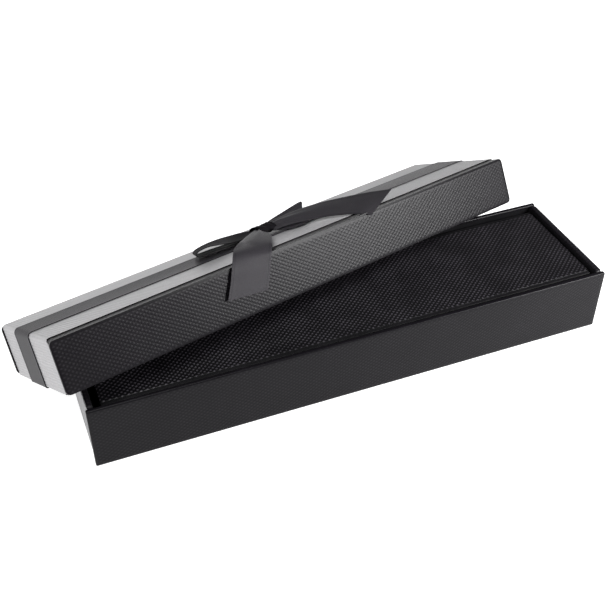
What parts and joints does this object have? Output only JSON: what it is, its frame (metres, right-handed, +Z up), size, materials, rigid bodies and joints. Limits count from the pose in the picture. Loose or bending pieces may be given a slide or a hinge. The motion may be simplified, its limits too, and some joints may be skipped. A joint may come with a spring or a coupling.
{
  "type": "jewelry gift box",
  "caption": "Long low bracelet gift box: black embossed tray with lift-out padded insert, and a telescoping lid with silver band, satin ribbon and bow, leaning on the tray",
  "frame": {"origin": "centre of the base tray's underside, on the surface it stands on", "axes": "+X along the tray's length, to the right seen from the front; +Y to the back, the side the lid leans on; +Z up"},
  "size_m": [0.2258, 0.113, 0.0519],
  "materials": {
    "black_embossed_paper": "black paper over board, embossed with a fine diamond grid, low sheen",
    "silver_card": "silver grey card with fine ribs, soft pearl sheen",
    "black_lining_paper": "matt black",
    "black_foam": "matt black",
    "satin_ribbon": "charcoal satin with woven edges"
  },
  "bodies": {
    "base": {"base_floor_board": "black_embossed_paper", "base_front_board": "black_embossed_paper", "base_back_board": "black_embossed_paper", "base_left_end_board": "black_embossed_paper", "base_right_end_board": "black_embossed_paper", "base_left_silver_paper": "silver_card", "base_right_silver_paper": "silver_card", "base_lining": "black_lining_paper"},
    "insert": {"insert_foam": "black_foam", "insert_cover": "black_embossed_paper"},
    "lid": {"lid_front_board": "black_embossed_paper", "lid_back_board": "black_embossed_paper", "lid_top_board": "black_embossed_paper", "lid_left_end_board": "black_embossed_paper", "lid_right_end_board": "black_embossed_paper", "lid_lining": "black_lining_paper", "lid_silver_band": "silver_card", "lid_ribbon_band": "satin_ribbon", "bow_knot": "satin_ribbon", "bow_left_loop": "satin_ribbon", "bow_right_loop": "satin_ribbon", "bow_right_tail": "satin_ribbon", "bow_front_tail": "satin_ribbon"}
  },
  "joints": [
    {"name": "insert_lift", "type": "slide", "parent": "base", "child": "insert", "axis": [0, 0, 1], "range_m": [0, 0.04]},
    {"name": "lid_lift", "type": "slide", "parent": "insert", "child": "lid", "axis": [0, 0, 1], "range_m": [0, 0.08]}
  ]
}
